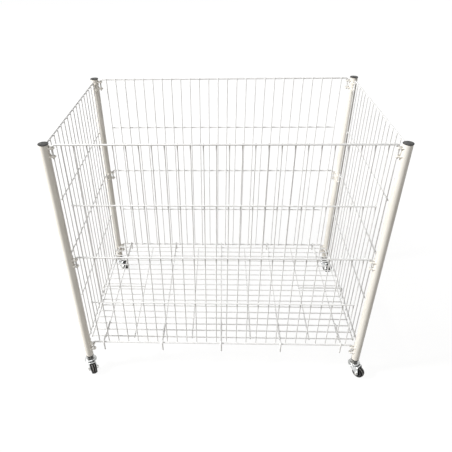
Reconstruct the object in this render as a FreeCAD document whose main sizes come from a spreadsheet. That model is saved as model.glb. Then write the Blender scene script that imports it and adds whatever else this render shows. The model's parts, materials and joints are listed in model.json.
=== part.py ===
import FreeCAD, Part
import os
import re
import Sketcher

# A wire dump bin on casters: four tubular corner posts, four welded wire panels that hook
# into loops on the posts, a wire deck that hooks over the panels' bottom rails, and a
# swivel caster under each post.
# Millimetres. The origin is on the floor under the middle of the bin, X runs along the
# long side, Y from the front to the back, and Z upwards.

DIMENSIONS = {
    # corner posts
    "post_span_x": 884.0,      # post axis to post axis along the front
    "post_span_y": 564.0,      # post axis to post axis along a side
    "tube_length": 750.0,
    "tube_diameter": 25.0,
    "tube_wall": 1.2,
    "push_fit": 0.1,           # radial clearance of the plastic plugs in the tube
    # end caps
    "cap_flange": 3.0,
    "cap_overhang": 1.0,       # cap's rim beyond the tube
    "cap_edge": 1.2,
    "cap_plug_length": 14.0,
    # wire panels
    "mesh_wire": 3.2,
    "mesh_pitch": 32.0,
    "mesh_margin": 42.0,       # post axis to the outermost upright
    "rail_wire": 5.0,
    "slim_rail_wire": 4.0,
    "rail_count": 5,
    "rail_lift": 60.0,         # lower end of the tubes to the long panels' bottom rail
    "rail_drop": 5.0,          # top of the bin to the long panels' top rail
    "side_drop": 4.0,          # side panels' rails below the long panels' rails
    "hook_standoff": 7.0,      # tube surface to the axis of a hook
    "hook_length": 37.0,
    "rail_bend": 5.0,
    # loops on the posts
    "loop_wire": 4.0,
    "loop_play": 0.5,
    "loop_spacing": 22.0,      # upper loop to lower loop
    "weld_gap": 0.1,
    # deck
    "deck_wire": 4.0,
    "deck_pitch": 30.0,
    "deck_cross_pitch": 96.0,
    "deck_inset_x": 12.0,      # side panel's plane to the deck's border wire
    "deck_inset_y": 27.0,      # long panel's plane to the deck's border wire
    "stub_wire": 5.0,
    "stub_reach": 90.0,        # long panel's plane to the inner end of a hook
    "side_stub_reach": 156.0,
    "stub_tip": 29.0,
    "stub_bend": 3.0,
    "seat_gap": 0.3,           # hooks above the rails they rest on
    # casters
    "wheel_diameter": 40.0,
    "tread_width": 18.0,
    "tread_shoulder": 2.5,
    "tyre_thickness": 6.0,
    "hub_rim": 2.5,
    "hub_boss": 13.0,
    "hub_web": 5.0,
    "bush_diameter": 9.0,
    "axle_diameter": 6.0,
    "axle_spanner": 10.0,
    "axle_head": 4.0,
    "axle_nut": 5.0,
    "bolt_end": 1.0,           # bolt beyond its nut
    "running_fit": 0.05,       # radial clearance of everything that turns
    "hub_side_play": 0.3,
    "fork_gauge": 2.0,
    "fork_clearance": 1.5,     # tread to the inside of a fork leg
    "fork_trail": 21.0,
    "fork_headroom": 3.0,
    "fork_boss": 13.0,
    "fork_depth": 32.0,        # width of the legs at the crown, fore and aft
    "fork_lead": 5.0,          # legs' upper ends ahead of midway between swivel and axle
    "crown_diameter": 40.0,
    "race_diameter": 28.0,
    "race_rise": 4.0,
    "swivel_play": 0.2,
    "washer_thickness": 1.6,
    "cup_gauge": 2.0,
    "cup_clearance": 0.5,
    "cup_lip": 1.5,            # crown to the lower edge of the raceway cup
    "stem_diameter": 10.0,
    "stem_spanner": 17.0,
    "stem_collar": 10.0,
    "stem_engagement": 24.0,
    "rivet_diameter": 15.0,
    "rivet_head": 2.0,
    "socket_flange": 5.0,
    "socket_length": 30.0,
    # direction in which each caster trails, anticlockwise from +X in degrees
    "yaw_front_left": -62.0,
    "yaw_front_right": -48.0,
    "yaw_back_left": -27.0,
    "yaw_back_right": -48.0,
}

# Sizes that follow from the ones above.
DERIVED = {
    "post_x": "post_span_x / 2",
    "post_y": "post_span_y / 2",
    "tube_radius": "tube_diameter / 2",
    "plug_radius": "tube_radius - tube_wall - push_fit",
    "cap_radius": "tube_radius + cap_overhang",
    "wheel_radius": "wheel_diameter / 2",
    "axle_radius": "axle_diameter / 2",
    "bush_radius": "bush_diameter / 2",
    "stem_radius": "stem_diameter / 2",
    "crown_under": "wheel_diameter + fork_headroom",
    "crown_top": "crown_under + fork_gauge",
    "race_top": "crown_top + race_rise",
    "washer_base": "race_top + swivel_play",
    "cup_ceiling": "washer_base + washer_thickness",
    "cup_top": "cup_ceiling + cup_gauge",
    "cup_bore": "race_diameter / 2 + cup_clearance",
    "cup_base": "crown_top + cup_lip",
    "collar_top": "cup_top + stem_collar",
    "tube_base": "collar_top + socket_flange",
    "tube_top": "tube_base + tube_length",
    "bin_top": "tube_top + cap_flange",
    "top_rail": "bin_top - rail_drop",
    "bottom_rail": "tube_base + rail_lift",
    "rail_pitch": "(top_rail - bottom_rail) / (rail_count - 1)",
    "long_reach": "post_x - mesh_margin",
    "side_reach": "post_y - mesh_margin",
    "hook_offset": "tube_radius + hook_standoff",
    "upright_offset": "(rail_wire + mesh_wire) / 2",
    "slim_offset": "(rail_wire - slim_rail_wire) / 2",
    "loop_half": "(rail_wire + loop_wire) / 2 + loop_play",
    "upper_loop": "rail_bend + rail_wire / 2 * tan(22.5 deg) + loop_wire / 2 + seat_gap",
    "deck_x": "post_x - deck_inset_x",
    "deck_y": "post_y - deck_inset_y",
    "hook_over": "rail_wire / 2 + seat_gap + stub_wire / 2",
    "deck_rise": "hook_over - (stub_wire + deck_wire) / 2",
    "leg_inside": "tread_width / 2 + fork_clearance",
    "leg_outside": "leg_inside + fork_gauge",
    "hub_radius": "wheel_radius - tyre_thickness",
    "hub_half": "leg_inside - hub_side_play",
}

CORNERS = {
    "front_left": (-1, -1),
    "front_right": (1, -1),
    "back_left": (-1, 1),
    "back_right": (1, 1),
}

AXLE = ("fork_trail", "wheel_radius")
X_AXIS = FreeCAD.Vector(1, 0, 0)
Y_AXIS = FreeCAD.Vector(0, 1, 0)
Z_AXIS = FreeCAD.Vector(0, 0, 1)
ROD_SIDES = 8
MESH_SIDES = 6
WHEEL_SIDES = 20
ROUND_SIDES = 16
BORE_SIDES = 12

doc = FreeCAD.newDocument("DumpBin")
sheet = doc.addObject("Spreadsheet::Sheet", "Dims")


def fill_sheet():
    rows = dict(DIMENSIONS)
    rows.update({name: "=" + formula for name, formula in DERIVED.items()})
    for row, (name, content) in enumerate(rows.items(), 1):
        sheet.set(f"A{row}", name)
        sheet.set(f"B{row}", str(content))
        sheet.setAlias(f"B{row}", name)
    doc.recompute()


def number(formula):
    """Value of a formula written in the sheet's names."""
    sheet.set("D1", "=" + formula)
    sheet.recompute()
    value = float(sheet.get("D1"))
    sheet.clear("D1")
    return value


def linked(formula):
    """The same formula, as an expression that other objects can use."""
    names = set(DIMENSIONS) | set(DERIVED)
    return re.sub(r"[a-z_]+", lambda word: f"Dims.{word[0]}" if word[0] in names else word[0], formula)


def bind(item, formulas):
    for path, formula in formulas.items():
        item.setExpression(path, linked(formula))


def signed(sign, formula):
    return f"{sign} * ({formula})"


def place(item, at, rotation=FreeCAD.Rotation()):
    item.Placement = FreeCAD.Placement(FreeCAD.Vector(*[number(part) for part in at]), rotation)
    bind(item, {f"Placement.Base.{axis}": part for axis, part in zip("xyz", at)})


def around(radius, sides):
    """Corner radius of a regular section whose flats touch a circle of this radius."""
    return f"({radius}) / cos({180 / sides} deg)"


# Wire work. A wire is a prism with a few flat sides, turned so that one flat faces the
# wire that it is welded to.

def turned(sides, along, flat):
    """Rotation of a regular section: its axis along one direction, a flat facing another."""
    frame = FreeCAD.Rotation(flat.cross(along), flat, along, "ZYX")
    return frame.multiply(FreeCAD.Rotation(Z_AXIS, 180 / sides if sides % 4 == 0 else 0))


def straight_wire(name, thickness, length, start, along, flat, sides):
    wire = doc.addObject("Part::Prism", name)
    wire.Polygon = sides
    bind(wire, {"Circumradius": around(thickness + " / 2", sides), "Height": length})
    place(wire, start, turned(sides, along, flat))
    return wire


def bent_wire(name, thickness, points, at, rotation, sides=ROD_SIDES):
    """Rod swept along straight runs in its local XY plane, from the first point on."""
    path = doc.addObject("Sketcher::SketchObject", name + "_path")
    ends = [FreeCAD.Vector(number(across), number(up), 0) for across, up in points]
    for first, last in zip(ends, ends[1:]):
        path.addGeometry(Part.LineSegment(first, last))
    for run in range(len(ends) - 2):
        path.addConstraint(Sketcher.Constraint("Coincident", run, 2, run + 1, 1))
    for index, point in enumerate(points):
        run, end = (index, 1) if index < len(points) - 1 else (index - 1, 2)
        pin_vertex(path, run, end, point, ends[index])
    section = doc.addObject("Part::RegularPolygon", name + "_section")
    section.Polygon = sides
    bind(section, {"Circumradius": around(thickness + " / 2", sides)})
    heading = (ends[1] - ends[0]).normalize()
    place(section, (points[0][0], points[0][1], "0"), turned(sides, heading, Z_AXIS))
    rod = doc.addObject("Part::Sweep", name)
    rod.Sections = [section]
    rod.Spine = (path, [f"Edge{run + 1}" for run in range(len(ends) - 1)])
    rod.Solid = True
    rod.Transition = "Right corner"
    place(rod, at, rotation)
    return rod


def group(label, members):
    node = doc.addObject("Part::Compound", label)
    node.Label = label
    node.Links = members
    return node


# Turned pieces. Those that repeat have a few flat sides in place of a round flank. A bore
# has its flats on its circle and a pin its corners, so that either turns freely.

def prism(name, sides, radius, height, base="0"):
    """Regular prism about local Z, with its corners at this radius."""
    solid = doc.addObject("Part::Prism", name)
    solid.Polygon = sides
    bind(solid, {"Circumradius": radius, "Height": height})
    place(solid, ("0", "0", base))
    return solid


def fused(label, members):
    solid = doc.addObject("Part::MultiFuse", label)
    solid.Label = label
    solid.Shapes = members
    solid.Refine = True
    return solid


def cut(label, stock, tool):
    solid = doc.addObject("Part::Cut", label)
    solid.Label = label
    solid.Base = stock
    solid.Tool = tool
    solid.Refine = True
    return solid


def bore(name, shaft, length, base="0"):
    """Hole in which a shaft of this radius runs."""
    return prism(name + "_bore", BORE_SIDES, around(f"{shaft} + running_fit", BORE_SIDES), length, base)


# Sketches and bodies

def pin_vertex(sketch, line, end, point, where):
    for direction, formula, value in (("DistanceX", point[0], where.x), ("DistanceY", point[1], where.y)):
        index = sketch.addConstraint(Sketcher.Constraint(direction, -1, 1, line, end, value))
        sketch.setExpression(f"Constraints[{index}]", linked(formula))


def new_body(label):
    body = doc.addObject("PartDesign::Body", label)
    body.Label = label
    return body


def sketch_on(body, role, shift=("0", "0", "0")):
    """Sketch on one of the body's own planes, shifted in the sketch's own directions."""
    sketch = body.newObject("Sketcher::SketchObject", body.Name + "_sketch")
    plane = next(feature for feature in body.Origin.OriginFeatures if feature.Role == role)
    sketch.AttachmentSupport = (plane, "")
    sketch.MapMode = "FlatFace"
    bind(sketch, {f"AttachmentOffset.Base.{axis}": part for axis, part in zip("xyz", shift)})
    return sketch


def outline(sketch, points):
    """Closed outline whose corners are bound to the sheet."""
    corners = [FreeCAD.Vector(number(across), number(up), 0) for across, up in points]
    sides = list(zip(corners, corners[1:] + corners[:1]))
    lines = [sketch.addGeometry(Part.LineSegment(first, last)) for first, last in sides]
    for line, following in zip(lines, lines[1:] + lines[:1]):
        sketch.addConstraint(Sketcher.Constraint("Coincident", line, 2, following, 1))
    for line, point, corner in zip(lines, points, corners):
        pin_vertex(sketch, line, 1, point, corner)


def circle(sketch, radius, centre=("0", "0")):
    middle = FreeCAD.Vector(number(centre[0]), number(centre[1]), 0)
    index = sketch.addGeometry(Part.Circle(middle, Z_AXIS, number(radius)))
    pin_vertex(sketch, index, 3, centre, middle)
    size = sketch.addConstraint(Sketcher.Constraint("Radius", index, number(radius)))
    sketch.setExpression(f"Constraints[{size}]", linked(radius))


def regular(sketch, sides, radius, centre=("0", "0")):
    """Regular outline with its corners at this radius."""
    angles = [step * 360 / sides for step in range(sides)]
    outline(sketch, [
        (f"{centre[0]} + {radius} * cos({a} deg)", f"{centre[1]} + {radius} * sin({a} deg)") for a in angles])


def hexagon(sketch, across_flats):
    regular(sketch, 6, around(f"{across_flats} / 2", 6))


def extruded(body, kind, sketch, length, both_ways=False, backwards=False):
    feature = body.newObject(kind, body.Name + "_step")
    feature.Profile = sketch
    feature.Midplane = both_ways
    feature.Reversed = backwards
    bind(feature, {"Length": length})
    return feature


def softened(body, feature, facings, size):
    """Chamfer round the ends of a feature that face these ways."""
    doc.recompute([feature])
    ends = [f"Face{index + 1}" for index, face in enumerate(feature.Shape.Faces)
            if any(face.normalAt(0, 0).isEqual(facing, 1e-6) for facing in facings)]
    edge = body.newObject("PartDesign::Chamfer", body.Name + "_edge")
    edge.Base = (feature, ends)
    bind(edge, {"Size": size})
    return edge


# Posts

def at_post(corner, height="0"):
    side, depth = CORNERS[corner]
    return (signed(side, "post_x"), signed(depth, "post_y"), height)


def make_post(corner):
    body = new_body("post_" + corner)
    sketch = sketch_on(body, "XY_Plane")
    circle(sketch, "tube_radius")
    circle(sketch, "tube_radius - tube_wall")
    extruded(body, "PartDesign::Pad", sketch, "tube_length")
    place(body, at_post(corner, "tube_base"))
    return body


def make_cap(corner):
    body = new_body("cap_" + corner)
    rim = sketch_on(body, "XY_Plane")
    regular(rim, ROUND_SIDES, "cap_radius")
    lid = extruded(body, "PartDesign::Pad", rim, "cap_flange")
    softened(body, lid, [Z_AXIS], "cap_edge")
    plug = sketch_on(body, "XY_Plane")
    regular(plug, ROUND_SIDES, "plug_radius")
    extruded(body, "PartDesign::Pad", plug, "cap_plug_length", backwards=True)
    place(body, at_post(corner, "tube_top"))
    return body


def make_socket(corner):
    name = "socket_" + corner
    flange = prism(name + "_flange", ROUND_SIDES, "tube_radius", "socket_flange", "-socket_flange")
    plug = prism(name + "_plug", ROUND_SIDES, "plug_radius", "socket_length")
    stock = fused(name + "_stock", [flange, plug])
    socket = cut(name, stock, bore(name, "stem_radius", "socket_flange + socket_length", "-socket_flange"))
    place(socket, at_post(corner, "tube_base"))
    return socket


def make_loop(name, corner, toward, height):
    """Wire loop welded to a post: it reaches out along X or Y round one panel hook."""
    side, depth = CORNERS[corner]
    angle = {"x": 180 if side > 0 else 0, "y": -90 if depth > 0 else 90}[toward]
    root = "sqrt(tube_radius ^ 2 - (loop_half - loop_wire / 2) ^ 2) + weld_gap"
    end = "hook_offset + loop_half"
    points = [(root, "loop_half"), (end, "loop_half"), (end, "-loop_half"), (root, "-loop_half")]
    heading = FreeCAD.Rotation(Z_AXIS, angle)
    return bent_wire(name, "loop_wire", points, at_post(corner, height), heading, MESH_SIDES)


def hook_levels():
    """Every other rail has hooks, from the top one down."""
    return range(0, round(number("rail_count")), 2)


def make_loops(corner):
    loops = []
    for toward, extra_drop in (("x", "0"), ("y", "side_drop")):
        for level in hook_levels():
            for tier in (0, 1):
                rail = f"top_rail - {extra_drop} - {level} * rail_pitch"
                height = f"{rail} - upper_loop - {tier} * loop_spacing"
                loops.append(make_loop(f"loop_{corner}_{toward}{level}{tier}", corner, toward, height))
    return group("loops_" + corner, loops)


# Wire panels. Rails with hooked ends lie outside, uprights and slim rails inside.

def make_hooked_rail(name, post_distance, level, extra_drop, across, rotation):
    end = f"({post_distance} - hook_offset)"
    points = [
        ("-" + end, "-hook_length"),
        ("-" + end, "-rail_bend"),
        (f"rail_bend - {end}", "0"),
        (f"{end} - rail_bend", "0"),
        (end, "-rail_bend"),
        (end, "-hook_length"),
    ]
    height = f"top_rail - {extra_drop} - {level} * rail_pitch"
    return bent_wire(name, "rail_wire", points, (*across, height), rotation)


def make_panel(label, post_distance, reach, outward, extra_drop, plane):
    """Panel that stands in the XZ plane when outward is a Y direction, else in the YZ plane."""
    faces_y = outward.y != 0
    sign = int(outward.y + outward.x)

    def spot(along, offset, height):
        depth = signed(sign, f"{plane} - {offset}")
        return (along, depth, height) if faces_y else (depth, along, height)

    rotation = FreeCAD.Rotation(X_AXIS, 90)
    if not faces_y:
        rotation = FreeCAD.Rotation(Z_AXIS, 90).multiply(rotation)
    wires = []
    rail_count = round(number("rail_count"))
    for level in range(rail_count):
        height = f"top_rail - {extra_drop} - {level} * rail_pitch"
        if level in hook_levels():
            across = spot("0", "0", height)[:2]
            wires.append(make_hooked_rail(
                f"{label}_rail{level}", post_distance, level, extra_drop, across, rotation))
        else:
            start = spot(f"-({reach} + mesh_wire / 2)", "slim_offset", height)
            wires.append(straight_wire(
                f"{label}_rail{level}", "slim_rail_wire", f"2 * {reach} + mesh_wire", start,
                X_AXIS if faces_y else Y_AXIS, outward, ROD_SIDES))
    gaps = round(number(f"2 * {reach} / mesh_pitch"))
    for index in range(gaps + 1):
        along = f"{reach} * {2 * index - gaps} / {gaps}"
        start = spot(along, "upright_offset", f"bottom_rail - {extra_drop} - rail_wire / 2")
        wires.append(straight_wire(
            f"{label}_upright{index}", "mesh_wire", "top_rail - bottom_rail + rail_wire", start,
            Z_AXIS, outward, MESH_SIDES))
    return group(label, wires)


# Deck. Long wires lie on cross wires, and hooked stubs run in over them from each panel.

def make_deck_mesh():
    wires = []
    rise = "bottom_rail + deck_rise"
    gaps = round(number("2 * deck_y / deck_pitch"))
    for index in range(gaps + 1):
        start = ("-(deck_x + deck_wire / 2)", f"deck_y * {2 * index - gaps} / {gaps}", rise)
        wires.append(straight_wire(
            f"deck_long{index}", "deck_wire", "2 * deck_x + deck_wire", start, X_AXIS, Z_AXIS, MESH_SIDES))
    half = int(number("deck_x / deck_cross_pitch"))
    stations = [f"{index} * deck_cross_pitch" for index in range(-half, half + 1)]
    for index, along in enumerate(["-deck_x", *stations, "deck_x"]):
        start = (along, "-(deck_y + deck_wire / 2)", f"{rise} - deck_wire")
        wires.append(straight_wire(
            f"deck_cross{index}", "deck_wire", "2 * deck_y + deck_wire", start, Y_AXIS, Z_AXIS, MESH_SIDES))
    return group("deck_mesh", wires)


def make_stub(name, reach, at, angle):
    """Hook that runs out over a bottom rail and down outside it; local X points outwards."""
    points = [
        (f"-{reach}", "0"),
        ("hook_over - stub_bend", "0"),
        ("hook_over", "-stub_bend"),
        ("hook_over", "-stub_tip - hook_over"),
    ]
    upright = FreeCAD.Rotation(Z_AXIS, angle).multiply(FreeCAD.Rotation(X_AXIS, 90))
    return bent_wire(name, "stub_wire", points, at, upright)


def make_deck_hooks():
    hooks = []
    half = int(number("deck_x / deck_cross_pitch")) // 2
    for index in range(-half, half + 1):
        along = f"{2 * index} * deck_cross_pitch"
        for name, sign, angle in (("front", -1, -90), ("back", 1, 90)):
            at = (along, signed(sign, "post_y"), "bottom_rail + hook_over")
            hooks.append(make_stub(f"stub_{name}{index + half}", "stub_reach", at, angle))
    for name, sign, angle in (("left", -1, 180), ("right", 1, 0)):
        at = (signed(sign, "post_x"), "0", "bottom_rail - side_drop + hook_over")
        hooks.append(make_stub(f"stub_{name}", "side_stub_reach", at, angle))
    return group("deck_hooks", hooks)


# Casters. Each is built about its swivel axis with the wheel trailing along local X and
# then turned to its own yaw.

def at_yaw(solid, corner):
    place(solid, at_post(corner), FreeCAD.Rotation(Z_AXIS, number("yaw_" + corner)))
    bind(solid, {"Placement.Rotation.Angle": "yaw_" + corner})
    return solid


def make_stem(corner):
    name = "stem_" + corner
    base = "crown_under - swivel_play"
    rivet = prism(name + "_rivet", BORE_SIDES, "rivet_diameter / 2", "rivet_head", base + " - rivet_head")
    journal = doc.addObject("Part::Cylinder", name + "_journal")
    bind(journal, {"Radius": "stem_radius", "Height": f"cup_top - ({base})"})
    place(journal, ("0", "0", base))
    collar = prism(name + "_collar", 6, around("stem_spanner / 2", 6), "stem_collar", "cup_top")
    reach = "socket_flange + stem_engagement"
    spigot = prism(name + "_spigot", BORE_SIDES, "stem_radius", reach, "collar_top")
    stem = fused(name, [rivet, journal, collar, spigot])
    place(stem, at_post(corner))
    return stem


def make_washer(corner):
    name = "washer_" + corner
    disc = prism(name + "_disc", ROUND_SIDES, "race_diameter / 2", "washer_thickness", "washer_base")
    washer = cut(name, disc, bore(name, "stem_radius", "washer_thickness", "washer_base"))
    place(washer, at_post(corner))
    return washer


def make_cup(corner):
    name = "cup_" + corner
    height = "cup_top - cup_base"
    inside = around("cup_bore", ROUND_SIDES)
    shell = prism(name + "_shell", ROUND_SIDES, inside + " + cup_gauge", height, "cup_base")
    hollow = prism(name + "_hollow", ROUND_SIDES, inside, "cup_ceiling - cup_base", "cup_base")
    cup = cut(name, shell, fused(name + "_space", [hollow, bore(name, "stem_radius", height, "cup_base")]))
    place(cup, at_post(corner))
    return cup


def leg_outline(sketch):
    """Side view of the legs, from the crown's edge down to a rounded end about the axle."""
    middle = "fork_trail / 2 - fork_lead"
    top = [(f"{middle} + fork_depth / 2", "crown_top"), (f"{middle} - fork_depth / 2", "crown_top")]
    end = [(f"fork_trail + fork_boss / 2 * cos({a} deg)", f"wheel_radius + fork_boss / 2 * sin({a} deg)")
           for a in (200, 235, 270, 305, 340)]
    outline(sketch, top + end)


def make_fork(corner):
    body = new_body("fork_" + corner)
    legs = sketch_on(body, "XZ_Plane")
    leg_outline(legs)
    extruded(body, "PartDesign::Pad", legs, "2 * leg_outside", both_ways=True)
    crown = sketch_on(body, "XY_Plane", ("0", "0", "crown_under"))
    regular(crown, ROUND_SIDES, "crown_diameter / 2")
    extruded(body, "PartDesign::Pad", crown, "fork_gauge")
    race = sketch_on(body, "XY_Plane", ("0", "0", "crown_top"))
    regular(race, ROUND_SIDES, "race_diameter / 2")
    extruded(body, "PartDesign::Pad", race, "race_rise")
    wheel_space = sketch_on(body, "XZ_Plane")
    outline(wheel_space, [
        ("-wheel_diameter", "0"),
        ("2 * wheel_diameter", "0"),
        ("2 * wheel_diameter", "crown_under"),
        ("-wheel_diameter", "crown_under"),
    ])
    extruded(body, "PartDesign::Pocket", wheel_space, "2 * leg_inside", both_ways=True)
    eye = sketch_on(body, "XY_Plane", ("0", "0", "race_top"))
    regular(eye, BORE_SIDES, around("stem_radius + running_fit", BORE_SIDES))
    extruded(body, "PartDesign::Pocket", eye, "race_top - crown_under")
    holes = sketch_on(body, "XZ_Plane")
    regular(holes, BORE_SIDES, around("axle_radius + running_fit", BORE_SIDES), AXLE)
    extruded(body, "PartDesign::Pocket", holes, "4 * leg_outside", both_ways=True)
    return at_yaw(body, corner)


def axle_prism(name, sides, radius, half):
    """Prism laid along the axle, as far to each side of the wheel's middle."""
    solid = prism(name, sides, radius, "2 * " + half)
    place(solid, ("fork_trail", "-" + half, "wheel_radius"), FreeCAD.Rotation(X_AXIS, -90))
    return solid


def make_tyre(corner):
    body = new_body("tyre_" + corner)
    rim = sketch_on(body, "XZ_Plane")
    regular(rim, WHEEL_SIDES, "wheel_radius", AXLE)
    tread = extruded(body, "PartDesign::Pad", rim, "tread_width", both_ways=True)
    softened(body, tread, [Y_AXIS, -Y_AXIS], "tread_shoulder")
    seat = sketch_on(body, "XZ_Plane")
    regular(seat, WHEEL_SIDES, "hub_radius", AXLE)
    extruded(body, "PartDesign::Pocket", seat, "2 * tread_width", both_ways=True)
    return at_yaw(body, corner)


def make_hub(corner):
    name = "hub_" + corner
    disc = axle_prism(name + "_disc", WHEEL_SIDES, "hub_radius", "tread_width / 2")
    well = axle_prism(name + "_well", WHEEL_SIDES, "hub_radius - hub_rim", "tread_width / 2")
    web = axle_prism(name + "_web", WHEEL_SIDES, "hub_radius - hub_rim", "hub_web / 2")
    boss = axle_prism(name + "_boss", BORE_SIDES, "hub_boss / 2", "hub_half")
    eye = axle_prism(name + "_eye", BORE_SIDES, around("bush_radius + running_fit", BORE_SIDES), "hub_half")
    stock = fused(name + "_stock", [cut(name + "_rim", disc, well), web, boss])
    return at_yaw(cut(name, stock, eye), corner)


def make_bush(corner):
    name = "bush_" + corner
    sleeve = axle_prism(name + "_sleeve", BORE_SIDES, "bush_radius", "leg_inside")
    eye = axle_prism(name + "_eye", BORE_SIDES, around("axle_radius + running_fit", BORE_SIDES), "leg_inside")
    return at_yaw(cut(name, sleeve, eye), corner)


def make_axle_bolt(corner):
    body = new_body("axle_bolt_" + corner)
    head = sketch_on(body, "XZ_Plane", ("fork_trail", "wheel_radius", "leg_outside"))
    hexagon(head, "axle_spanner")
    extruded(body, "PartDesign::Pad", head, "axle_head")
    shank = sketch_on(body, "XZ_Plane", ("fork_trail", "wheel_radius", "leg_outside"))
    circle(shank, "axle_radius")
    extruded(body, "PartDesign::Pad", shank, "2 * leg_outside + axle_nut + bolt_end", backwards=True)
    return at_yaw(body, corner)


def make_axle_nut(corner):
    body = new_body("axle_nut_" + corner)
    sketch = sketch_on(body, "XZ_Plane", ("fork_trail", "wheel_radius", "-leg_outside"))
    hexagon(sketch, "axle_spanner")
    regular(sketch, BORE_SIDES, around("axle_radius + running_fit", BORE_SIDES))
    extruded(body, "PartDesign::Pad", sketch, "axle_nut", backwards=True)
    return at_yaw(body, corner)


fill_sheet()
long_panel = ("post_x", "long_reach")
side_panel = ("post_y", "side_reach")
nodes = [
    make_panel("front_panel", *long_panel, -Y_AXIS, "0", "post_y"),
    make_panel("back_panel", *long_panel, Y_AXIS, "0", "post_y"),
    make_panel("left_panel", *side_panel, -X_AXIS, "side_drop", "post_x"),
    make_panel("right_panel", *side_panel, X_AXIS, "side_drop", "post_x"),
    make_deck_mesh(),
    make_deck_hooks(),
]
for corner in CORNERS:
    nodes += [make_post(corner), make_cap(corner), make_loops(corner)]
    nodes += [make_fork(corner), make_tyre(corner), make_hub(corner)]
    nodes += [make_bush(corner), make_axle_bolt(corner), make_axle_nut(corner)]
for label, maker in (
    ("tube_sockets", make_socket),
    ("caster_stems", make_stem),
    ("raceway_cups", make_cup),
    ("swivel_washers", make_washer),
):
    nodes.append(group(label, [maker(corner) for corner in CORNERS]))

doc.recompute()
faults = [item.Name for item in doc.Objects if {"Invalid", "Error"} & set(item.State)]
if faults:
    raise RuntimeError("objects that failed: " + ", ".join(faults))
for node in nodes:
    if node.Shape.isNull() or not node.Shape.isValid() or not node.Shape.Solids:
        raise RuntimeError("bad shape: " + node.Label)

os.makedirs("parts", exist_ok=True)
for node in nodes:
    node.Shape.exportStep(f"parts/{node.Label}.step")
    print(node.Label, len(node.Shape.Solids), "solids")
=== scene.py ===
import json
import math

import bmesh
import bpy
from mathutils import Matrix, Vector


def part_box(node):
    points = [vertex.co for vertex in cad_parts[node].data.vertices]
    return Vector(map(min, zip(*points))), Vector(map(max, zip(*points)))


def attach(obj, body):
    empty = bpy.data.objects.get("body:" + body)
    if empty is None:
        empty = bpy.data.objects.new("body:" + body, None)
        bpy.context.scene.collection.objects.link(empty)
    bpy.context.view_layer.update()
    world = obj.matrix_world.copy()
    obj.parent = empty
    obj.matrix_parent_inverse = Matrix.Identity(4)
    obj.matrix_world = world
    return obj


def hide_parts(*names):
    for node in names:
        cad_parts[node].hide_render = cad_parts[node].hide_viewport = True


# A wire dump bin on casters. Metres, X along its long side, Y to the back, Z up, floor at zero.
# What can be changed stands in a dictionary beside the code of its tree, finish or piece.

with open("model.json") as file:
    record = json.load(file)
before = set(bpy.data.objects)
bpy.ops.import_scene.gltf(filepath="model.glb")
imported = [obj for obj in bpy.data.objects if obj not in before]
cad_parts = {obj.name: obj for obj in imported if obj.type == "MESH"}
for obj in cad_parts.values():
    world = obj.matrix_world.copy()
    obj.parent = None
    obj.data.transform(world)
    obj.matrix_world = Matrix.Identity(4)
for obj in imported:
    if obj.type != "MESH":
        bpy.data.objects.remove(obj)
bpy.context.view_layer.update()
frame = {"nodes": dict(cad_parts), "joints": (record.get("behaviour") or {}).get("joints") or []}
corners = {"front_left": (-1, -1), "front_right": (1, -1), "back_left": (-1, 1), "back_right": (1, 1)}


def addNode(tree, kind, links=None, **settings):  # links gives an input its socket to join, or a plain value
    node = tree.nodes.new(kind)
    for name, value in settings.items():
        setattr(node, name, value)
    for socket, source in (links or {}).items():
        if hasattr(source, "links"):
            tree.links.new(source, node.inputs[socket])
        else:
            node.inputs[socket].default_value = source
    return node


# The next four add one node each and return the socket that gives its result.

def addMaths(tree, operation, *values):
    return addNode(tree, "ShaderNodeMath", dict(enumerate(values)), operation=operation).outputs[0]


def addRamp(tree, value, start, end, first=0.0, last=1.0, **settings):  # start to end becomes first to last
    sockets = dict(enumerate((value, start, end, first, last)))
    return addNode(tree, "ShaderNodeMapRange", sockets, **settings).outputs[0]


def addMix(tree, factor, under, over):  # a Mix node takes its colours at sockets 6 and 7
    return addNode(tree, "ShaderNodeMix", {0: factor, 6: under, 7: over}, data_type="RGBA").outputs[2]


def addNoise(tree, vector, scale, detail):
    sockets = {"Vector": vector, "Scale": scale, "Detail": detail}
    return addNode(tree, "ShaderNodeTexNoise", sockets).outputs[0]


def addSockets(tree, inOut, sockets):
    for name, kind, *value in sockets:
        socket = tree.interface.new_socket(name, in_out=inOut, socket_type="NodeSocket" + kind)
        if value:
            socket.default_value = value[0]


def newTree(name, kind, inputs, outputs):
    tree = bpy.data.node_groups.new(name, kind)
    addSockets(tree, "INPUT", inputs)
    addSockets(tree, "OUTPUT", outputs)
    return tree, tree.nodes.new("NodeGroupInput").outputs, tree.nodes.new("NodeGroupOutput").inputs


# Shader groups that the finishes share.

grainNoise = dict(broadDetail=1.0, fineDetail=3.0, fineRatio=3.7)


def makeGrain():  # height of a fine uneven skin, such as a stoved coating or a moulded face
    tree, given, out = newTree("skinGrain", "ShaderNodeTree", [
        ("Vector", "Vector"), ("Scale", "Float", 900.0), ("Fine", "Float", 0.35)], [("Height", "Float")])
    broad = addNoise(tree, given["Vector"], given["Scale"], grainNoise["broadDetail"])
    tight = addMaths(tree, "MULTIPLY", given["Scale"], grainNoise["fineRatio"])
    fine = addNoise(tree, given["Vector"], tight, grainNoise["fineDetail"])
    part = addMaths(tree, "MULTIPLY", fine, given["Fine"])
    tree.links.new(addMaths(tree, "ADD", broad, part), out["Height"])
    return tree


driftNoise = dict(detail=4.0, reach=(0.35, 0.65))


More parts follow.
